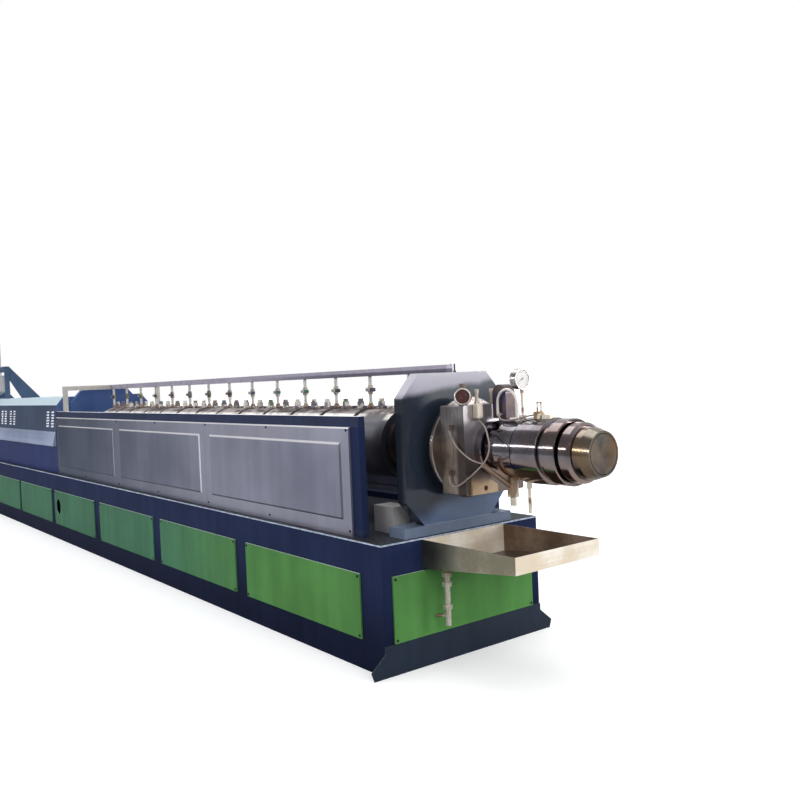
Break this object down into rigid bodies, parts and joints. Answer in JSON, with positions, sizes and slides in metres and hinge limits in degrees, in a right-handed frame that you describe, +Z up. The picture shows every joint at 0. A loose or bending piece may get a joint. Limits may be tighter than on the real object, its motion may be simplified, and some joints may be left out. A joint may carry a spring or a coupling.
{
  "type": "single-screw foam extruder",
  "caption": "Long plastic extruder: navy base with green access panels, guarded barrel with cooled zones, round die head at the front and a vented hood at the rear.",
  "frame": {"origin": "floor level, at the middle of the base's front end", "axes": "+X along the barrel, the way the plastic leaves; +Y away from the operator's side; +Z up"},
  "size_m": [10.479, 1.276, 2.181],
  "materials": {
    "navy_paint": "satin navy machine paint",
    "green_paint": "satin leaf green paint",
    "stainless": "brushed stainless sheet",
    "zinc_pipe": "galvanised pipe",
    "dark_steel": "dark oiled steel",
    "polished_steel": "polished dark steel",
    "valve_metal": "brass body with dark green lever",
    "gauge_white": "white dial in a steel case",
    "grey_box": "light grey paint"
  },
  "bodies": {
    "root": {"side_top_rails": "navy_paint", "side_bottom_rails": "navy_paint", "side_posts": "navy_paint", "end_rails": "navy_paint", "cross_beams": "navy_paint", "deck_plates": "navy_paint", "end_skirts": "navy_paint", "yoke_beams": "navy_paint", "front_yoke": "navy_paint", "rear_yoke": "navy_paint", "guard_rails": "navy_paint", "guard_posts": "navy_paint", "hood_lower_panels": "navy_paint", "hood_end_plates": "navy_paint", "feed_stand": "navy_paint", "near_side_panels": "green_paint", "far_side_panels": "green_paint", "end_panels": "green_paint", "drip_tray": "stainless", "tray_drain": "stainless", "near_guard_panels": "stainless", "far_guard_panels": "stainless", "heater_jackets": "stainless", "hood_covers": "stainless", "hood_aprons": "stainless", "feed_hopper": "stainless", "loader_pipe": "stainless", "water_header": "zinc_pipe", "header_portal": "zinc_pipe", "drop_pipes": "zinc_pipe", "terminal_caps": "zinc_pipe", "gauge_stem": "zinc_pipe", "die_fittings": "zinc_pipe", "head_cables": "zinc_pipe", "barrel": "dark_steel", "cooling_collars": "dark_steel", "changer_fittings": "dark_steel", "injection_valve": "dark_steel", "clamp_ring": "polished_steel", "screen_changer": "polished_steel", "adapter_neck": "polished_steel", "die_rear_section": "polished_steel", "die_middle_section": "polished_steel", "die_clamp_ring": "polished_steel", "die_front_section": "polished_steel", "die_lip": "polished_steel", "die_mandrel": "polished_steel", "ball_valves": "valve_metal", "pressure_gauge": "gauge_white", "deck_box": "grey_box"}
  },
  "joints": []
}
